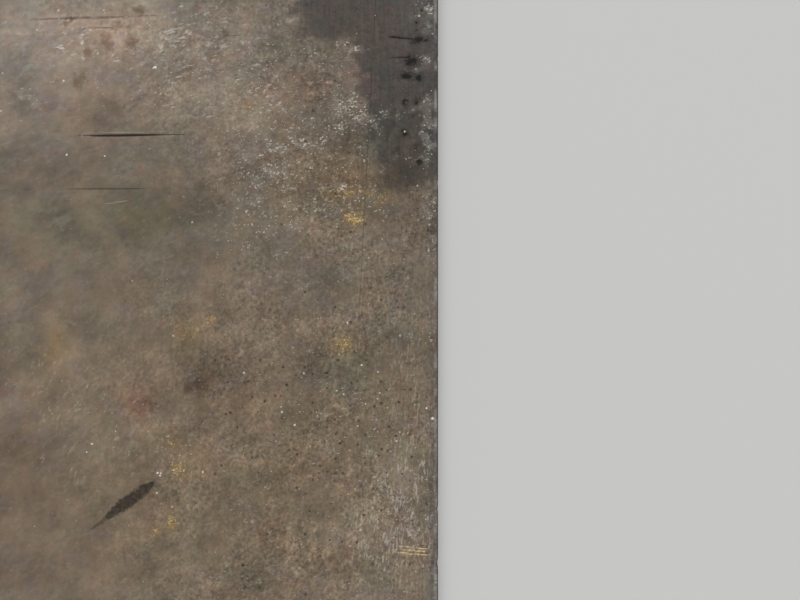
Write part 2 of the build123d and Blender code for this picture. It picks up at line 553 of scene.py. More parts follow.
# %% List the tints and the blotches
# Tints multiply the colour of the scale, as red, green and blue
TINTS = [
    # The first tint lightens a wide area far in from the side and far along the known patch: partly painted
    # light, the brighter light there, and partly paler dusty scale
    (205, 170, 95, 60, (1.58, 1.64, 1.72)),
    (228, 130, 26, 60, (0.98, 1.01, 1.06)),
    (228, 104, 24, 20, (1.18, 1.19, 1.21)),
    (182, 138, 44, 30, (1.22, 1.23, 1.29)),
    (112, 110, 40, 24, (1.26, 1.24, 1.23)),
    (175, 144, 24, 14, (1.13, 1.04, 0.98)),
    (48, 84, 24, 34, (0.84, 0.84, 0.84)),
    (205, 62, 50, 26, (0.95, 0.96, 0.96)),
    (139, 46, 34, 17, (0.84, 0.85, 0.84)),
    (67, 116, 16, 18, (0.72, 0.67, 0.66)),
    (88, 106, 12, 12, (1.14, 1.12, 1.12)),
    (57, 86, 20, 11, (0.86, 0.85, 0.85)),
    (11, 68, 14, 12, (0.80, 0.81, 0.83)),
    (5, 44, 6, 12, (0.78, 0.78, 0.79)),
    (34, 44, 14, 10, (0.93, 0.93, 0.93)),
    (142, 138, 14, 20, (0.95, 0.95, 0.95)),
    (20, -26, 16, 16, (0.81, 0.83, 0.83)),
    (6, -122, 6, 34, (0.76, 0.78, 0.81)),
    (24, -20, 12, 10, (0.88, 0.89, 0.89)),
    (165, 45, 17, 10, (0.88, 0.89, 0.86)),
    (140, -25, 14, 10, (0.92, 0.92, 0.92)),
    (86, 108, 12, 10, (1.08, 1.07, 1.07)),
    (46, 86, 14, 10, (0.84, 0.86, 0.84)),
    (45, 68, 44, 22, (0.85, 0.84, 0.83)),
    (15, 47, 15, 15, (0.80, 0.82, 0.84)),
    (52, 62, 12, 5, (1.0, 0.84, 0.80)),
    (175, 42, 60, 16, (0.97, 1.02, 0.96)),
    (154, 44, 19, 12, (0.86, 0.88, 0.84)),
    (34, -48, 26, 30, (0.90, 0.91, 0.89)),
    (148, -64, 16, 10, (1.14, 1.13, 1.12)),
    (64, 100, 12, 6, (0.88, 0.86, 0.85)),
    (30, 95, 8, 8, (0.90, 0.95, 0.98)),
    (3, 76, 5, 18, (1.08, 1.16, 1.26)),
    (14, 150, 9, 9, (1.10, 1.12, 1.14)),
    (13, 112, 12, 26, (0.90, 0.90, 0.92)),
    (22, -118, 26, 42, (1.10, 1.11, 1.13)),
    (190, -60, 48, 44, (1.12, 1.12, 1.12)),
    (112, -48, 34, 20, (0.90, 0.89, 0.89)),
    (130, -45.5, 10, 5, (0.74, 0.73, 0.75)),
    (121, -36, 13, 10, (0.78, 0.76, 0.73)),
    (124, -54, 5, 6, (0.88, 0.86, 0.82)),
    (118, 135, 8, 6, (0.78, 0.79, 0.81)),
    (105, -60, 7, 5, (0.84, 0.82, 0.82)),
    (224, -96, 26, 46, (0.84, 0.83, 0.85)),
    (120, -95, 170, 80, (1.055, 0.988, 0.87)),
    (40, 140, 18, 26, (1.03, 1.0, 0.96)),
    (44, 62, 50, 22, (1.02, 1.0, 0.90)),
    (41, 118, 7, 11, (1.05, 0.96, 1.06)),
    (33, 82, 7, 12, (0.86, 0.97, 1.02)),
    (16, 65, 6, 4, (0.80, 0.80, 0.82)),
    (158, -54, 9, 9, (1.10, 0.90, 0.90)),
    (203, -25, 7, 13, (1.08, 1.05, 0.88)),
    (132, -18, 8, 8, (1.10, 1.06, 0.84)),
    (50, -23, 6, 5, (1.14, 1.08, 0.74)),
    (185, 100, 18, 10, (1.05, 0.97, 0.92)),
    (50, -40, 12, 12, (0.92, 1.0, 0.98)),
    (30, -66, 10, 26, (0.95, 1.0, 0.97)),
]
# Brown blotches in the tan patch: across, along and radius
BLOTCHES = [
    (157.8, 153.6, 3.0), (170.8, 145.7, 3.0), (165.0, 144.4, 2.6), (175.6, 138.5, 4.2), (161.3, 136.1, 3.4),
    (174.4, 134.0, 3.0), (185.5, 131.4, 2.4), (118.3, 131.2, 4.2), (113.2, 140.2, 3.2), (190.0, 115.5, 4.0),
    (196.0, 147.6, 2.6), (131.5, -46.5, 3.4), (125.5, -45.0, 3.6),
]
print(len(TINTS), "tints and", len(BLOTCHES), "blotches")

# %% Say where the scale has worn to slate
# The slate strip runs along the side and flares out, and a wider field of slate meets it
STRIP_END, STRIP_END_WIDTH, STRIP_FLARE, STRIP_END_SLOPE = 60.0, 30.0, 0.22, 0.8
FIELD_ALONG, FIELD_ACROSS = 137.0, 74.0
SLATE_REACH = 15
print("the slate strip is", STRIP_END_WIDTH, "mm wide at its end, and flares out from there")


def known_slate(across, along):
    """How deep inside the known slate each point lies, in mm, and below 0 outside it."""
    strip_width = STRIP_END_WIDTH + (along - STRIP_END) * STRIP_FLARE
    strip = np.minimum(strip_width - across, (along - STRIP_END) * STRIP_END_SLOPE)
    field = np.minimum(FIELD_ACROSS - across, along - FIELD_ALONG)
    return np.clip(np.maximum(strip, field), -SLATE_REACH, SLATE_REACH)


# %% Find out where every point lies
SIDE_REACH = 150
TOP_REACH, ROLLED_REACH, KNOWN_FADE = 1.2 * MM, 0.9 * MM, 60 * MM
# The underside is one large face with points round its rim alone, so it gets even numbers
BELOW_STEEP, BELOW_GRIT = 0.5, 0.8

points = np.array([vertex.co for vertex in plate_data.vertices])
on_top = points[:, 2] > top_z - TOP_REACH
on_side = rim_gap(points) < ROLL_OVER
below = points[:, 2] < top_z / 2
flat = points[:, :2]
across = (half_width - points[:, 0]) / MM
along = points[:, 1] / MM
known = np.clip(1 - known_gap(flat) / KNOWN_FADE, 0, 1) * on_top
print(len(points), "points,", int(on_top.sum()), "of them on top and", int(below.sum()), "below")


# %% Make the helpers that lay soft patches and tints
def lay(patches):
    """Add up soft patches, each fading out from its middle."""
    total = np.zeros(len(points))
    for at_across, at_along, reach_across, reach_along, amount in patches:
        total += amount * np.exp(-((across - at_across) / reach_across) ** 2
                                 - ((along - at_along) / reach_along) ** 2)
    return total * on_top


def lay_tints(patches):
    """Multiply up the tints, each fading out from its middle."""
    total = np.ones((len(points), 4))
    for *place, colour in patches:
        weight = lay([(*place, 1.0)])[:, None]
        total[:, :3] *= 1 + weight * (np.array(colour) - 1)
    return total


# %% Make the helpers that measure how deep inside a mark a point lies
def cone(off, radius):
    """How deep inside a round mark a point lies: 1 in its middle, 0 at its rim, and less outside."""
    return np.clip(1 - off / radius, -1, 1)


def inside(marks, taper=np.ones_like):
    """The depth inside the deepest of the marks."""
    depths = [np.full(len(points), -1.0)]
    for mark in marks:
        share, off = along_and_off(flat, mark)
        depths.append(cone(off, mark[4] * taper(share)))
    return np.where(on_top, np.max(depths, axis=0), -1)


def inside_drips():
    """The depth inside the heads, the tails and the rings of the drips."""
    depths = [inside([stroke(*tail) for tail in DRIP_TAILS], lambda share: 1 - 0.7 * share)]
    for at_across, at_along, reach_across, reach_along in DRIP_HEADS:
        off = np.hypot((across - at_across) / reach_across, (along - at_along) / reach_along)
        depths.append(cone(off, 1))
    for at_across, at_along, radius, half, faint in DRIP_RINGS:
        off = np.abs(np.hypot(across - at_across, along - at_along) - radius)
        depths.append(cone(off, half) - faint)
    return np.where(on_top, np.max(depths, axis=0), -1)


# %% Make the helpers that change from one place to the next
def ramp(value, start, reach):
    """Go from 0 at start to 1 a reach further on. A reach below 0 goes the other way."""
    return np.clip((value - start) / reach, 0, 1)


def drifting(middle, amount, per_metre, seed):
    """A value that drifts about its middle over the plate, with so many waves in a metre."""
    waves = [noise.noise(Vector((x * per_metre, y * per_metre, seed))) for x, y in flat]
    return middle + amount * np.array(waves)


def grit_here():
    """How gritty the skin is: smooth far in on the known patch, and in drifts elsewhere."""
    # The smooth part starts further in where the plate is known below its middle
    smooth_from = 170 + 35 * ramp(along, 30, -60)
    known_grit = 0.12 + 0.88 * ramp(across, smooth_from, -110) + lay(GRITTY)
    wild_grit = drifting(0.7, 0.5, per_metre=6, seed=31)
    return np.where(below, BELOW_GRIT, known_grit * known + wild_grit * (1 - known))


def steep_here():
    """How steeply the wipes run: 0 where they lie nearly across the plate, 1 where they climb."""
    known_steep = ramp(along, 50, -80)
    wild_steep = np.clip(drifting(0.5, 1.1, per_metre=2.6, seed=43), 0, 1)
    return np.where(below, BELOW_STEEP, known_steep * known + wild_steep * (1 - known))


def band_here():
    """How plain the grey band beside the sheared side is."""
    known_band = np.maximum(ramp(along, -55, -30), 0.45)
    wild_band = np.clip(drifting(0.6, 0.9, per_metre=2.1, seed=47), 0, 1)
    return (known_band * known + wild_band * (1 - known)) * on_top


# %% Give every point its numbers
numbers = {
    "known": known,
    "steep": steep_here(),
    "banded": band_here(),
    "from side": np.where(below, SIDE_REACH, np.clip(rim_gap(points) / MM, 0, SIDE_REACH)),
    "chalk": lay(CHALK),
    "rust": lay(RUST),
    "scuffed": lay(SCUFFED),
    "brushed": lay(BRUSHED),
    "speckled": lay(SPECKLED),
    "grit": grit_here(),
    "slate": known_slate(across, along),
    "underside": below.astype(float),
    "pitted": inside(pits + pits_elsewhere),
    "dripped": inside_drips(),
    "nicked": inside(nicks),
    "blotched": inside([spot(*blotch) for blotch in BLOTCHES]),
    "gouged": inside(gouges_elsewhere, gouge_taper),
    "rolled": np.clip((top_z - points[:, 2]) / ROLLED_REACH, 0, 1) * on_side * ~below,
}
for name, values in numbers.items():
    layer = plate_data.attributes.new(name, "FLOAT", "POINT")
    layer.data.foreach_set("value", values.astype(np.float32))
    print(name, "from", round(float(values.min()), 2), "to", round(float(values.max()), 2))
tint_layer = plate_data.attributes.new("tint", "FLOAT_COLOR", "POINT")
tint_layer.data.foreach_set("color", lay_tints(TINTS).astype(np.float32).ravel())

# %% [markdown]
# ## Tools for wiring materials
# All the finishes here are built from nodes, with no picture files. In the editor one drags
# noodles between boxes. In a script the same work is repetitive, so we make a few helpers first:
# one that feeds a socket, one that adds a node, and one for each kind of node that we need over
# and over. With them a step of the finish is one line that reads almost like a sentence. They all
# work on the tree that is being wired just then, which is always called tree.

# %% Make the helpers that add and feed nodes
def feed(socket, source):
    """Link an output to a socket, or write a plain value on it."""
    if isinstance(source, bpy.types.NodeSocket):
        tree.links.new(source, socket)
    else:
        socket.default_value = source


def add_node(kind, feeds, **options):
    """Add a shader node, set its options, and feed its sockets by name or by number."""
    node = tree.nodes.new("ShaderNode" + kind)
    for option, value in options.items():
        setattr(node, option, value)
    for socket, source in feeds.items():
        feed(node.inputs[socket], source)
    return node


def tell(step):
    """Print how many nodes the tree has after a step."""
    print(step + ":", len(tree.nodes), "nodes by now")


# %% Name the sums
def calc(operation, *values):
    """One sum on numbers."""
    return add_node("Math", dict(enumerate(values)), operation=operation).outputs[0]


# The sums that come up most. Scaled takes a value, a factor, and what is then added
times, scaled = partial(calc, "MULTIPLY"), partial(calc, "MULTIPLY_ADD")
plus, minus = partial(calc, "ADD"), partial(calc, "SUBTRACT")
highest, lowest = partial(calc, "MAXIMUM"), partial(calc, "MINIMUM")


def vector_calc(operation, *values):
    """One sum on vectors, which gives a vector or, for some sums, a number."""
    outputs = add_node("VectorMath", dict(enumerate(values)), operation=operation).outputs
    return outputs["Value" if operation in ("DOT_PRODUCT", "DISTANCE") else "Vector"]


def times_vector(vector, factor):
    """A vector times a number."""
    return add_node("VectorMath", {0: vector, "Scale": factor}, operation="SCALE").outputs[0]


# %% Name the ways to fade, mix and stretch, and to place a group
def fade(value, low, high, start=0.0, end=1.0):
    """Go smoothly from start to end while the value goes from low to high."""
    feeds = {"Value": value, "From Min": low, "From Max": high, "To Min": start, "To Max": end}
    return add_node("MapRange", feeds, interpolation_type="SMOOTHSTEP").outputs[0]


def coat(share, under, over, way="MIX"):
    """Lay one colour over another, as much as share says."""
    feeds = {0: share, 6: under, 7: over}
    return add_node("Mix", feeds, data_type="RGBA", blend_type=way).outputs[2]


def blend_values(share, under, over):
    """The same for plain numbers."""
    return add_node("Mix", {0: share, 2: under, 3: over}, data_type="FLOAT").outputs[0]


def stretched(place, turn, long, wide):
    """Draw a pattern out in one direction: turned by turn degrees, long by wide times its size."""
    feeds = {"Vector": place, "Rotation": (0, 0, math.radians(turn)), "Scale": (long, wide, 1)}
    return add_node("Mapping", feeds, vector_type="TEXTURE").outputs[0]


def use_group(group, **feeds):
    """Place a shared group, fed by its own socket names, with _ for a space."""
    named = {name.replace("_", " "): source for name, source in feeds.items()}
    return add_node("Group", named, node_tree=group).outputs


# %% Make the helper that starts a group
def start_group(name, inputs, outputs):
    """Start a shader node group. Inputs come as name: value and outputs as name: kind."""
    # A number makes a number socket, a tuple a vector socket, and a list a colour socket
    kinds = {float: "NodeSocketFloat", tuple: "NodeSocketVector", list: "NodeSocketColor"}
    tree = bpy.data.node_groups.new(name, "ShaderNodeTree")
    for socket, value in inputs.items():
        made = tree.interface.new_socket(socket, in_out="INPUT", socket_type=kinds[type(value)])
        made.default_value = value
    for socket, kind in outputs.items():
        tree.interface.new_socket(socket, in_out="OUTPUT", socket_type="NodeSocket" + kind)
    return tree, tree.nodes.new("NodeGroupInput").outputs, tree.nodes.new("NodeGroupOutput").inputs


# %% [markdown]
# ## Shared effects
# Two finishes cover this plate, the scale on its faces and the raw steel of its sheared sides.
# Both are mottled, both have flecks and both rust, only in other amounts. So each effect is a
# node group of its own with named sockets. It is wired once and placed as often as we like, and
# a change in one place then reaches every finish. A short helper after most of the groups places
# it, at the spot called place unless the call names another.

# %% Mottle: soft lumps of one size
# Each seed reads the noise in another part of space, so no two patterns are alike
SEED_STEP = (3.37, 2.61, 4.83)

tree, given, result = start_group(
    "mottle",
    {"Place": (0.0, 0.0, 0.0), "Size": 10.0, "Seed": 0.0, "Contrast": 2.0, "Detail": 3.0},
    {"Value": "Float"},
)
aside = times_vector(SEED_STEP, given["Seed"])
lump_scale = calc("DIVIDE", 1 / MM, given["Size"])
lumps = add_node("TexNoise", {
    "Vector": vector_calc("ADD", given["Place"], aside), "Scale": lump_scale,
    "Detail": given["Detail"], "Roughness": 0.55}).outputs[0]
from_mean = minus(lumps, 0.5)
stronger = scaled(from_mean, given["Contrast"], 0.5)
feed(result["Value"], add_node("Clamp", {"Value": stronger}).outputs[0])
mottle = tree
tell("mottle")


def lumps_of(size, seed, contrast=2.0, detail=3.0, at=None):
    """Soft lumps about that many millimetres wide, as values around 0.5."""
    return use_group(mottle, Place=at or place, Size=size, Seed=seed, Contrast=contrast,
                     Detail=detail)["Value"]


# %% Flecks: small crisp flakes that gather in clusters
FLECK_CURL = 0.095

tree, given, result = start_group(
    "flecks",
    {"Place": (0.0, 0.0, 0.0), "Size": 2.0, "Seed": 0.0, "Cover": 0.5},
    {"Mask": "Float"},
)
place = given["Place"]


def fleck_noise(size_share, seed_step, contrast, detail):
    """One of the three noises that shape the flecks."""
    size = times(given["Size"], size_share)
    seed = plus(given["Seed"], seed_step)
    return lumps_of(size, seed, contrast, detail)


# A flake is a stretch of the line where a noise crosses its middle value, which curls as it goes
off_line = calc("ABSOLUTE", minus(fleck_noise(1.0, 0.0, 1.0, 1.5), 0.5))
on_line = fade(off_line, FLECK_CURL, 0.0)
# A second noise breaks the lines into short stretches, more of them where the cover is high
bar = minus(1.0, given["Cover"])
kept = fade(minus(fleck_noise(0.8, 5.3, 2.6, 2.0), bar), 0.0, 0.22)
# A third makes some flakes bright and others faint
strength = fade(fleck_noise(2.2, 9.1, 2.4, 1.0), 0.15, 0.85, 0.2, 1.0)
whole = times(times(on_line, kept), strength)
feed(result["Mask"], whole)
flecks = tree
tell("flecks")


def flecks_of(size, seed, cover, at=None):
    """Small crisp flakes about that many millimetres long, as a mask."""
    return use_group(flecks, Place=at or place, Size=size, Seed=seed, Cover=cover)["Mask"]


# %% Specks: round dots, each with its own size
SPECK_WARP, SPECK_WAVES = 0.9 * MM, 0.6 / MM
SPECK_STEP = (0.37, 0.61, 0)

tree, given, result = start_group(
    "specks",
    {"Place": (0.0, 0.0, 0.0), "Spacing": 6.0, "Radius": 0.6, "Cover": 0.5, "Seed": 0.0},
    {"Mask": "Float"},
)
# A little warp keeps the dots from being true circles
warp = add_node("TexNoise", {
    "Vector": given["Place"], "Scale": SPECK_WAVES, "Detail": 1.0}).outputs["Color"]
warp = vector_calc("MULTIPLY_ADD", warp, (SPECK_WARP,) * 3, (-SPECK_WARP / 2,) * 3)
moved = vector_calc("ADD", given["Place"], warp)
aside = times_vector(SPECK_STEP, given["Seed"])
moved = vector_calc("ADD", moved, aside)
cells = add_node("TexVoronoi", {
    "Vector": moved, "Scale": calc("DIVIDE", 1 / MM, given["Spacing"])},
    voronoi_dimensions="2D").outputs
chance = add_node("SeparateColor", {"Color": cells["Color"]}).outputs
radius = calc("DIVIDE", given["Radius"], given["Spacing"])
# Most are small and a few are large
larger = times(chance["Red"], chance["Red"])
radius = times(radius, scaled(larger, 1.4, 0.4))
dot = fade(calc("DIVIDE", cells["Distance"], radius), 1.0, 0.45)
chosen = calc("LESS_THAN", chance["Green"], given["Cover"])
feed(result["Mask"], times(dot, chosen))
specks = tree
tell("specks")


def specks_of(spacing, radius, seed, cover):
    """Round dots, one or none to a cell of that spacing, as a mask."""
    return use_group(specks, Place=place, Spacing=spacing, Radius=radius, Seed=seed,
                     Cover=cover)["Mask"]


# %% Grain: fine streaks that run one way
GRAIN_LENGTH = 24

tree, given, result = start_group(
    "grain",
    {"Place": (0.0, 0.0, 0.0), "Width": 0.8, "Seed": 0.0, "Contrast": 2.0},
    {"Value": "Float"},
)
drawn_out = add_node("Mapping", {
    "Vector": given["Place"], "Scale": (1, 1 / GRAIN_LENGTH, 1)}, vector_type="POINT").outputs[0]
streaks = lumps_of(given["Width"], given["Seed"], given["Contrast"], detail=2.0, at=drawn_out)
feed(result["Value"], streaks)
grain = tree
tell("grain")


def grain_of(width, seed, contrast, at=None):
    """Fine streaks about that many millimetres wide, as values around 0.5."""
    return use_group(grain, Place=at or place, Width=width, Seed=seed, Contrast=contrast)["Value"]


# %% Rust bloom: a warm stain with bright orange flecks in it
RUST_STAIN = (0.200, 0.124, 0.056, 1)
RUST_OCHRE = (0.310, 0.215, 0.085, 1)
RUST_FLECK = (0.64, 0.47, 0.22, 1)

tree, given, result = start_group(
    "rust bloom",
    {"Place": (0.0, 0.0, 0.0), "Colour": [0.2, 0.2, 0.2, 1.0], "Amount": 0.0, "Seed": 0.0},
    {"Colour": "Color", "Mask": "Float"},
)
place = given["Place"]
patch = lumps_of(5.0, given["Seed"], contrast=2.4, detail=4.0)
stain_share = times(given["Amount"], fade(patch, 0.2, 0.9, 0.15, 0.9))
stain_share = lowest(stain_share, 0.75)
stained = coat(stain_share, given["Colour"], RUST_STAIN)
# Where it is strongest the stain turns to ochre
ochre = fade(times(given["Amount"], patch), 0.45, 1.0, 0.0, 0.75)
stained = coat(ochre, stained, RUST_OCHRE)
fleck_cover = times(given["Amount"], 0.72)
orange = flecks_of(1.4, given["Seed"], fleck_cover)
feed(result["Colour"], coat(orange, stained, RUST_FLECK))
feed(result["Mask"], highest(stain_share, orange))
rust_bloom = tree
tell("rust bloom")

# %% Stroke: how deep inside a straight mark a point lies
THINNEST = 0.01 * MM

tree, given, result = start_group(
    "stroke mark",
    {"Place": (0.0, 0.0, 0.0), "Start": (0.0, 0.0, 0.0), "End": (0.0, 0.0, 0.0), "Half Width": 0.5},
    {"Depth": "Float"},
)
run = vector_calc("SUBTRACT", given["End"], given["Start"])
reach = vector_calc("SUBTRACT", given["Place"], given["Start"])
reach = vector_calc("MULTIPLY", reach, (1, 1, 0))
reach_on_run = vector_calc("DOT_PRODUCT", reach, run)
run_squared = vector_calc("DOT_PRODUCT", run, run)
share = calc("DIVIDE", reach_on_run, run_squared)
share = add_node("Clamp", {"Value": share}).outputs[0]
off = vector_calc("DISTANCE", reach, times_vector(run, share))
# The mark tapers to nothing at both ends
rest = minus(1.0, share)
both_ends = times(times(share, rest), 4.0)
half = times(given["Half Width"], MM)
half = times(half, calc("POWER", both_ends, 0.5))
half = highest(half, THINNEST)
feed(result["Depth"], minus(1.0, calc("DIVIDE", off, half)))
stroke_mark = tree
tell("stroke mark")
print("shared groups:", ", ".join(group.name for group in bpy.data.node_groups))

# %% [markdown]
# ## The mill scale
# Mill scale is the oxide that grows on steel while it is rolled hot. Fresh, it is blue-black and
# a little glossy. On a plate that has lain about it is a brown grey, thin and worn through to
# slate in places, with rust starting where the scale has cracked. We build the colour the way it
# came about: the scale first, then what wore it, then what grew and fell on it. Each step takes
# the colour so far and lays something over it.

# %% Make the helpers that start a finish and end it
def start_finish(name):
    """Start a material: itself, its tree, and the sockets of its shader."""
    material = bpy.data.materials.new(name)
    material.use_nodes = True
    return material, material.node_tree, material.node_tree.nodes["Principled BSDF"].inputs


def lay_on(shader, colour, dull, height):
    """Give the shader its colour, how dull it is, and its relief in millimetres."""
    relief = add_node("Bump", {"Height": height, "Distance": MM, "Strength": 1.0}).outputs[0]
    for socket, source in (("Base Color", colour), ("Roughness", dull), ("Normal", relief)):
        feed(shader[socket], source)


# %% Start the finish and read what was painted on the points
scale, tree, shader = start_finish("mill scale")


def painted(name):
    """A number that the points of the mesh carry."""
    return add_node("Attribute", {}, attribute_name=name).outputs["Fac"]


# The underside gets other lumps than the top face right above it
UNDERSIDE_SHIFT = (3.1, 1.7, 0.9)
GENTLE_TURN, STEEP_TURN = 18, 56
here = add_node("TexCoord", {}).outputs["Object"]
shift = times_vector(UNDERSIDE_SHIFT, painted("underside"))
place = vector_calc("ADD", here, shift)
rolled_place = stretched(place, 90, 2.3, 1.0)
known_here = painted("known")
elsewhere = minus(1.0, known_here)
grit = painted("grit")


def swing(value, amount):
    """Turn a value around 0.5 into a factor around 1, which swings by amount either way."""
    doubled = scaled(value, 2.0, -1.0)
    return scaled(doubled, amount, 1.0)


def shade(colour, factor):
    """Make a colour lighter or darker by a factor."""
    return vector_calc("MULTIPLY", colour, factor)


# %% Lay the brown and grey patches of the scale
BROWN = (0.172, 0.130, 0.092, 1)
OLIVE_GREY = (0.149, 0.124, 0.090, 1)
PLUM_GREY = (0.146, 0.117, 0.100, 1)
RED_BROWN = (0.176, 0.120, 0.088, 1)
HAZE_BROWN = (0.176, 0.113, 0.074, 1)
HAZE_GREY = (0.118, 0.106, 0.086, 1)
HAZE_PALE = (0.250, 0.215, 0.165, 1)

colour = coat(fade(lumps_of(30, seed=1, contrast=3, detail=4), 0.15, 0.85), BROWN, OLIVE_GREY)
colour = coat(fade(lumps_of(12, seed=2, contrast=2.6), 0.5, 1.0, 0.0, 0.8), colour, PLUM_GREY)
colour = coat(fade(lumps_of(9, seed=26, contrast=2.8, detail=4), 0.6, 1.05, 0.0, 0.8), colour, RED_BROWN)
tell("brown and grey patches")

# %% Let the tone drift over the rest of the plate
# The clouds are drawn out the way the plate was rolled, and so are the long soft streaks
clouds = lumps_of(250, seed=3, contrast=3.2, detail=5, at=rolled_place)
browner = lumps_of(170, seed=36, contrast=3, detail=5, at=rolled_place)
greyer = lumps_of(210, seed=38, contrast=3, detail=5, at=rolled_place)
streaks = lumps_of(20, seed=37, contrast=3, detail=4, at=stretched(place, 90, 16.0, 1.0))
paler = lumps_of(120, seed=39, contrast=3, detail=5)
for haze, most, tone in ((browner, 0.55, HAZE_BROWN), (greyer, 0.6, HAZE_GREY), (paler, 0.75, HAZE_PALE)):
    share = times(fade(haze, 0.48, 1.0, 0.0, most), elsewhere)
    colour = coat(share, colour, tone)
drift = times(swing(clouds, 0.32), swing(lumps_of(70, seed=4, contrast=2.6, detail=4), 0.12))
drift = times(drift, swing(streaks, 0.10))
colour = shade(colour, blend_values(elsewhere, 1.0, drift))
tell("drifting tone")

# %% Break the patches up with blots, smears and speckle
wipes = lumps_of(14, seed=34, contrast=2.8, detail=2, at=stretched(place, 24, 3.5, 1.0))
blots = lumps_of(22, seed=27, contrast=2.8, detail=4)
# The smears lie gently sloped in some places and steep in others, and upright near the side
gentle = lumps_of(3.4, seed=5, contrast=2.5, detail=4, at=stretched(place, GENTLE_TURN, 1.8, 1.0))
steep = lumps_of(3.2, seed=44, contrast=2.6, detail=4, at=stretched(place, STEEP_TURN, 1.7, 1.0))
upright = lumps_of(1.0, seed=28, contrast=3, detail=3, at=stretched(place, 90, 3.4, 1.0))
from_side = painted("from side")
smears = blend_values(painted("steep"), gentle, steep)
smears = blend_values(fade(from_side, 55, 8, 0.0, 0.7), smears, upright)
speckle = lumps_of(1.6, seed=6, contrast=2.4, detail=2)
# Some places are rubbed smooth and others stay rough
rough = times(fade(lumps_of(30, seed=35, contrast=3), 0.1, 0.9, 0.6, 1.4), grit)
blot_swing, smear_swing = scaled(known_here, 0.12, 0.10), scaled(rough, 0.10, 0.09)
for pattern, amount in ((wipes, 0.10), (blots, blot_swing), (smears, smear_swing)):
    colour = shade(colour, swing(pattern, amount))
# The brightest of the smears are short strokes that stand out
strokes_here = times(fade(smears, 0.62, 1.0), rough)
colour = shade(colour, scaled(strokes_here, 0.20, 1.0))
# Smudges of thin dust curl over it all
SMUDGE_GREY = (0.225, 0.200, 0.165, 1)
smudges = flecks_of(7.0, seed=48.0, cover=0.55, at=stretched(place, 34, 1.7, 1.0))
colour = coat(times(smudges, 0.34), colour, SMUDGE_GREY)
colour = shade(colour, swing(speckle, scaled(rough, 0.31, 0.02)))
tell("blots, smears and speckle")

# %% Rub short pale strokes over it, and let brown blotches dry on it
SCUFF_GREY = (0.37, 0.335, 0.28, 1)
BLOTCH_TINT = (0.66, 0.58, 0.53, 1)

wild_scuffs = fade(paler, 0.45, 0.85, 0.0, 0.8)
scuffed = scaled(wild_scuffs, elsewhere, painted("scuffed"))
scuff_cover = scaled(scuffed, 0.42, 0.13)


def scuffs_at(turn, seed):
    """Short strokes that run at one angle."""
    return flecks_of(2.6, seed, scuff_cover, at=stretched(place, turn, 2.0, 1.0))


scuffs = blend_values(painted("steep"), scuffs_at(GENTLE_TURN, 50.0), scuffs_at(STEEP_TURN, 53.0))
# The steep ones are fainter
scuff_share = scaled(painted("steep"), -0.27, 0.74)
colour = coat(times(scuffs, scuff_share), colour, SCUFF_GREY)
ragged_rim = scaled(lumps_of(3.6, seed=46, contrast=2.6, detail=2), 0.8, -0.4)
blotched = fade(plus(painted("blotched"), ragged_rim), -0.25, 0.45)
colour = coat(times(blotched, 0.85), colour, BLOTCH_TINT, way="MULTIPLY")
tell("pale strokes and blotches")

# %% Wear it to slate
SLATE = (0.060, 0.050, 0.042, 1)
SLATE_PLUM = (0.064, 0.049, 0.044, 1)
SLATE_BLUE = (0.051, 0.050, 0.044, 1)

# Away from the known patch it shows in strips beside the sides and in a few long ragged fields
strip_width = scaled(lumps_of(380, seed=40, contrast=3, detail=4), 130, -68)
strip = minus(strip_width, from_side)
field = scaled(lumps_of(160, seed=41, contrast=2.6, detail=7, at=rolled_place), 150, -112)
wild_slate = lowest(highest(strip, field), SLATE_REACH)
slate_depth = blend_values(known_here, wild_slate, painted("slate"))
ragged = scaled(lumps_of(12, seed=7, contrast=3, detail=5), 10.0, -5.0)
slate_inside = plus(slate_depth, ragged)
slate_share = times(fade(slate_inside, -3.5, 4.0), 0.55)
slate_share = plus(slate_share, fade(slate_inside, -8.0, 12.0, 0.0, 0.42))
slate_colour = coat(fade(lumps_of(12, seed=8, contrast=2.6, detail=2), 0.3, 0.8), SLATE, SLATE_PLUM)
slate_colour = coat(fade(lumps_of(12, seed=9, contrast=2.6, detail=2), 0.5, 0.9), slate_colour, SLATE_BLUE)
fine_grain = grain_of(0.75, seed=10.0, contrast=2.4)
slate_colour = shade(slate_colour, swing(fine_grain, 0.13))
slate_colour = shade(slate_colour, swing(lumps_of(3.0, seed=11, contrast=2.4, detail=4), 0.24))
# Far from the known patch the scale is worn less deep
worn_less = scaled(known_here, 0.22, 0.78)
colour = coat(times(slate_share, worn_less), colour, slate_colour)
tint = add_node("Attribute", {}, attribute_name="tint").outputs["Color"]
colour = vector_calc("MULTIPLY", colour, tint)
tell("slate and tints")

# %% Brush the strip beside the sheared side, along the plate
BRUSHED_STEEL = (0.37, 0.335, 0.275, 1)

wide_grain = grain_of(1.5, seed=12.0, contrast=3.0)
brush_strokes = lumps_of(1.25, seed=49, contrast=3.2, detail=4, at=stretched(place, 84, 3.4, 1.0))
brushed = times(painted("brushed"), fade(brush_strokes, 0.46, 1.02))
brushed = times(brushed, fade(lumps_of(7, seed=13, contrast=3, detail=4), 0.25, 0.8))
colour = coat(lowest(brushed, 0.8), colour, BRUSHED_STEEL)
colour = shade(colour, swing(wide_grain, times(grit, 0.06)))
# Where the blade drew the corner down, a grey band runs along the side
BAND_WIDTH = 4.7
BAND_TINT = (0.74, 0.79, 0.93, 1)
band_edge = scaled(lumps_of(14, seed=45, contrast=2.6, detail=5), 1.6, BAND_WIDTH - 0.8)
in_band = fade(minus(band_edge, from_side), -0.3, 0.5)
in_band = times(in_band, painted("banded"))
colour = coat(in_band, colour, BAND_TINT, way="MULTIPLY")
tell("brushed strip and grey band")

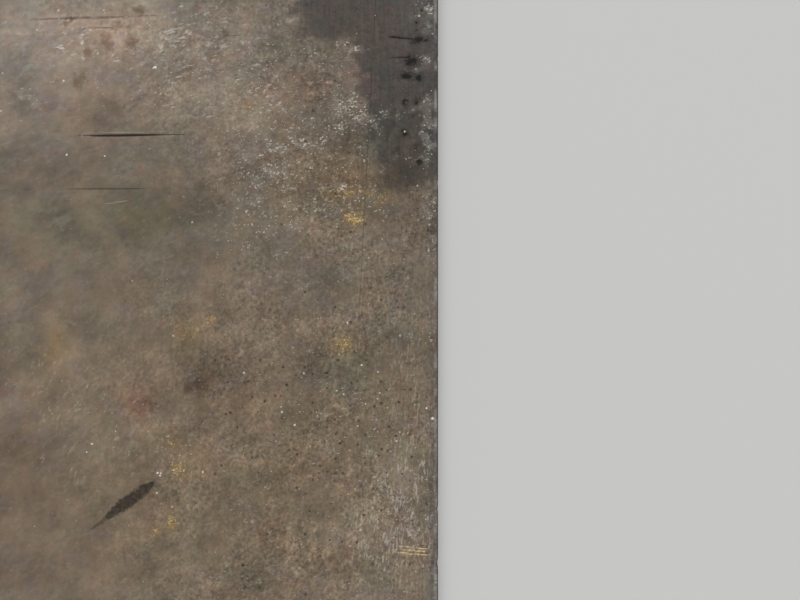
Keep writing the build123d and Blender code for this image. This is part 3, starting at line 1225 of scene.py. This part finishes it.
# %% Let it rust
rust_amount = painted("rust")
rusty_zone = fade(browner, 0.50, 0.85)
wild_rust = fade(lumps_of(32, seed=14, contrast=3, detail=4), 0.72, 1.10, 0.0, 1.3)
wild_rust = times(times(wild_rust, rusty_zone), elsewhere)
rust_amount = plus(rust_amount, wild_rust)
rusted = use_group(rust_bloom, Place=place, Colour=colour, Amount=rust_amount, Seed=15.0)
colour = rusted["Colour"]
tell("rust")

# %% Scatter pale flecks of dried dirt
CHALK_FLECK = (0.58, 0.55, 0.48, 1)
CHALK_HAZE = (0.235, 0.215, 0.175, 1)

chalk_amount = painted("chalk")
wild_chalk = fade(lumps_of(60, seed=16, contrast=3, detail=4), 0.5, 1.0, 0.0, 0.8)
chalk_amount = plus(chalk_amount, times(wild_chalk, elsewhere))
# It gathers in clumps and leaves gaps between them
clumps = lumps_of(7, seed=29, contrast=3, detail=4)
haze = times(fade(clumps, 0.4, 1.0), chalk_amount)
chalk_amount = times(chalk_amount, fade(clumps, 0.25, 0.85, 0.6, 1.2))
colour = coat(lowest(times(haze, 0.45), 0.35), colour, CHALK_HAZE)
# A few stray flakes lie everywhere but on the slate
stray_cover = scaled(grit, 0.10, 0.06)
stray_cover = times(stray_cover, minus(1.0, slate_share))
chalk_cover = scaled(chalk_amount, 0.42, stray_cover)
chalk = flecks_of(1.4, seed=17.0, cover=chalk_cover, at=stretched(place, GENTLE_TURN, 1.4, 1.0))
colour = coat(times(chalk, 0.90), colour, CHALK_FLECK)
tell("dried dirt")

# %% Darken the drips, the pits and the gouges
BLACK_STAIN = (0.005, 0.0035, 0.002, 1)
# The pit brown also paints the shade at the foot of the rolled corner
PIT_AND_SHADE_BROWN = (0.045, 0.036, 0.028, 1)
GOUGE_BROWN = (0.026, 0.020, 0.013, 1)

speckled = plus(painted("speckled"), times(elsewhere, 0.25))
pit_cover = scaled(speckled, 0.30, fade(grit, 0.5, 1.2, 0.0, 0.08))
small_pits = specks_of(4.0, 0.64, seed=30.0, cover=pit_cover)
colour = coat(times(small_pits, 0.8), colour, PIT_AND_SHADE_BROWN)
rough_rim = scaled(lumps_of(1.7, seed=18, contrast=2.6, detail=3), 0.8, -0.4)


def depth_in(mark):
    """How deep inside a called out stroke each place lies: above 0 inside, at most 1."""
    start, end = (*on_plate(*mark[0:2]), 0), (*on_plate(*mark[2:4]), 0)
    return use_group(stroke_mark, Place=here, Start=start, End=end, Half_Width=mark[4])["Depth"]


drip_depth = plus(painted("dripped"), ragged_rim)
drip_depth = scaled(rough_rim, 0.55, drip_depth)
drip_core = times(fade(drip_depth, -0.40, 0.65), 0.97)
drip_halo = fade(drip_depth, -1.0, 0.0, 0.0, 0.30)
dripped = highest(drip_core, drip_halo)
pitted = times(fade(plus(painted("pitted"), rough_rim), 0.05, 0.75), 0.75)
belly = highest(depth_in(GOUGE_BELLY), painted("gouged"))
belly = scaled(ragged_rim, 0.35, belly)
belly = fade(scaled(rough_rim, 0.35, belly), -0.15, 0.4)
tail = scaled(ragged_rim, 0.9, depth_in(GOUGE_TAIL))
gouged = highest(belly, fade(tail, -0.2, 0.6, 0.0, 0.6))
gouged = times(gouged, fade(speckle, 0.1, 0.9, 0.96, 0.78))
colour = coat(gouged, colour, GOUGE_BROWN)
blackened = highest(dripped, pitted)
colour = coat(blackened, colour, BLACK_STAIN)
stained = highest(blackened, gouged)
tell("drips, pits and gouges")

# %% Draw the straight scratches, the scribed line and the coloured streaks
STREAK_BROWN = (0.075, 0.048, 0.034, 1)
SCRATCH_BROWN = (0.014, 0.010, 0.006, 1)
GOLDEN = (0.66, 0.50, 0.28, 1)


def strongest(marks, share, crisp):
    """How strong the strongest of several called out strokes is at each place, times a share."""
    return times(reduce(highest, (fade(depth_in(mark), 0.0, crisp) for mark in marks)), share)


broken = fade(lumps_of(8, seed=31, contrast=2.6), 0.15, 0.65, 0.25, 1.0)
scraped = fade(speckle, 0.15, 0.75, 0.1, 1.0)
# Each kind: its strokes, how strong and how crisp they are, what breaks them up, and their colour
for marks, share, crisp, gaps, tone in (
    (BROWN_STREAKS + DARK_STREAKS, 0.62, 1.0, broken, STREAK_BROWN),
    (PALE_STREAKS, 0.50, 1.0, broken, BRUSHED_STEEL),
    (GOLDEN_STREAKS, 0.95, 0.9, scraped, GOLDEN),
):
    colour = coat(times(strongest(marks, share, crisp), gaps), colour, tone)
scratched = strongest([LONG_SCRATCH], 0.66, 0.7)
for mark, share, crisp in (
    (SCRATCH_CORE, 0.97, 0.5), (SHORT_SCRATCH, 0.55, 1.0), (SCRIBED_LINE, 0.5, 0.9),
):
    scratched = highest(scratched, strongest([mark], share, crisp))
colour = coat(scratched, colour, SCRATCH_BROWN)
tell("scratches and streaks")

# %% Brighten the nicks, paint glints and a highlight on the worn corner, and paint shade at its foot
BARE_STEEL_AND_GLINT = (0.66, 0.63, 0.58, 1)
WORN_STEEL_AND_HIGHLIGHT = (0.27, 0.26, 0.24, 1)

# The glints are painted highlights: tiny specks of bright bare-steel colour that stand for the sparkle of
# light on the metal. They join the real nicks
glints = specks_of(10.0, 0.36, seed=32.0, cover=0.12)
nicked = fade(scaled(rough_rim, 0.8, painted("nicked")), 0.1, 0.65)
nicked = highest(nicked, times(glints, 0.6))
colour = coat(nicked, colour, BARE_STEEL_AND_GLINT)
rolled = painted("rolled")
# The pale broken line along the rolled corner is partly real wear to bare steel and partly a painted
# highlight, the light that the curved corner catches
corner = times(fade(rolled, 0.02, 0.14), fade(speckle, 0.0, 0.8, 0.3, 1.0))
worn_lumps = scaled(painted("banded"), 0.15, lumps_of(12, seed=33, contrast=3, detail=5))
worn_and_highlit = times(corner, fade(worn_lumps, 0.45, 1.05, 0.0, 0.8))
colour = coat(worn_and_highlit, colour, WORN_STEEL_AND_HIGHLIGHT)
# Painted shade: the lower part of the rolled corner is darkened with the pit brown. It stands in for the
# shadow where the top face turns down to the side
painted_corner_shade = fade(rolled, 0.28, 0.75, 0.0, 0.85)
colour = coat(painted_corner_shade, colour, PIT_AND_SHADE_BROWN)
tell("nicks and worn corner")

# %% Set how dull each kind of surface is
dull = blend_values(slate_share, 0.60, 0.48)
dulled = ((rusted["Mask"], 0.88), (chalk, 0.90), (stained, 0.70), (nicked, 0.35), (worn_and_highlit, 0.40))
for layer, dullness in dulled:
    dull = blend_values(layer, dull, dullness)
dull = plus(dull, scaled(smears, 0.12, -0.06))
tell("dullness")

# %% Raise and lower the skin by a few hundredths of a millimetre
SCALE_SHINE = 0.22

height = times(smears, 0.04)
gritty = times(speckle, grit)
raised = ((gritty, 0.06), (chalk, 0.10), (small_pits, -0.08), (fine_grain, 0.010), (scratched, -0.10))
for layer, rise in raised:
    height = scaled(layer, rise, height)
lay_on(shader, colour, dull, height)
shader["Specular IOR Level"].default_value = SCALE_SHINE
tell("the whole mill scale")

# %% [markdown]
# ## The sheared steel
# The side shows what the scale hides. The land that the blade slid along is burnished, with fine
# streaks that run from the top face down. Under it the torn steel is rough and has started to
# rust. Both are one finish here, and the height on the side tells it where one ends and the
# other begins.

# %% Build the finish of the sheared side
LAND_STEEL = (0.150, 0.140, 0.128, 1)
TORN_STEEL = (0.095, 0.078, 0.064, 1)
LAND_BOTTOM, TEAR_TOP = top_z - 2.7 * MM, top_z - 3.1 * MM

sheared, tree, shader = start_finish("sheared steel")
place = add_node("TexCoord", {}).outputs["Object"]
xyz = add_node("SeparateXYZ", {0: place}).outputs
# The streaks run down, so the height goes where the grain takes its length
sideways = plus(xyz["X"], xyz["Y"])
down_first = add_node("CombineXYZ", {"X": sideways, "Y": xyz["Z"]}).outputs[0]
streaks = grain_of(0.5, seed=21.0, contrast=2.6, at=down_first)
torn = fade(xyz["Z"], LAND_BOTTOM, TEAR_TOP)
colour = shade(coat(torn, LAND_STEEL, TORN_STEEL), swing(streaks, 0.25))
colour = shade(colour, swing(lumps_of(9, seed=22, contrast=2.6, detail=4), 0.22))
rusted = use_group(rust_bloom, Place=place, Colour=colour, Seed=23.0,
                   Amount=fade(lumps_of(26, seed=24, contrast=2.8, detail=4), 0.35, 0.9, 0.05, 0.65))
dull = blend_values(rusted["Mask"], blend_values(torn, 0.42, 0.72), 0.9)
height = times(streaks, 0.02)
tear_lumps = times(lumps_of(1.2, seed=25, contrast=2.4, detail=3), torn)
height = scaled(tear_lumps, 0.12, height)
lay_on(shader, rusted["Colour"], dull, height)

plate_data.materials.append(scale)
plate_data.materials.append(sheared)
print("finishes on the plate:", ", ".join(paint.name for paint in plate_data.materials))

# %% [markdown]
# ## The floor
# The plate is shown on a plain pale floor. It only has to catch the shadow of the sheared side,
# so it is one large square, a fraction of a millimetre below the plate to keep the two from
# flickering in each other.

# %% Lay the floor
FLOOR_SIZE, FLOOR_GAP = 40.0, 0.2 * MM
FLOOR_GREY, FLOOR_DULLNESS = (0.56, 0.56, 0.55, 1), 0.95

floor_mesh = bmesh.new()
bmesh.ops.create_grid(floor_mesh, x_segments=1, y_segments=1, size=FLOOR_SIZE / 2)
bmesh.ops.translate(floor_mesh, vec=(0, 0, -FLOOR_GAP), verts=floor_mesh.verts)
floor_data = bpy.data.meshes.new("floor")
floor_mesh.to_mesh(floor_data)
floor_mesh.free()
floor = put_in_scene("floor", floor_data)
floor_paint, tree, shader = start_finish("pale floor")
feed(shader["Base Color"], FLOOR_GREY)
feed(shader["Roughness"], FLOOR_DULLNESS)
floor_data.materials.append(floor_paint)
print("the floor is", FLOOR_SIZE, "m wide")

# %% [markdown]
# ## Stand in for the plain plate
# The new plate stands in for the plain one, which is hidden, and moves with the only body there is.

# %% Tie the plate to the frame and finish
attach(plate, "root")
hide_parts("steel_plate")

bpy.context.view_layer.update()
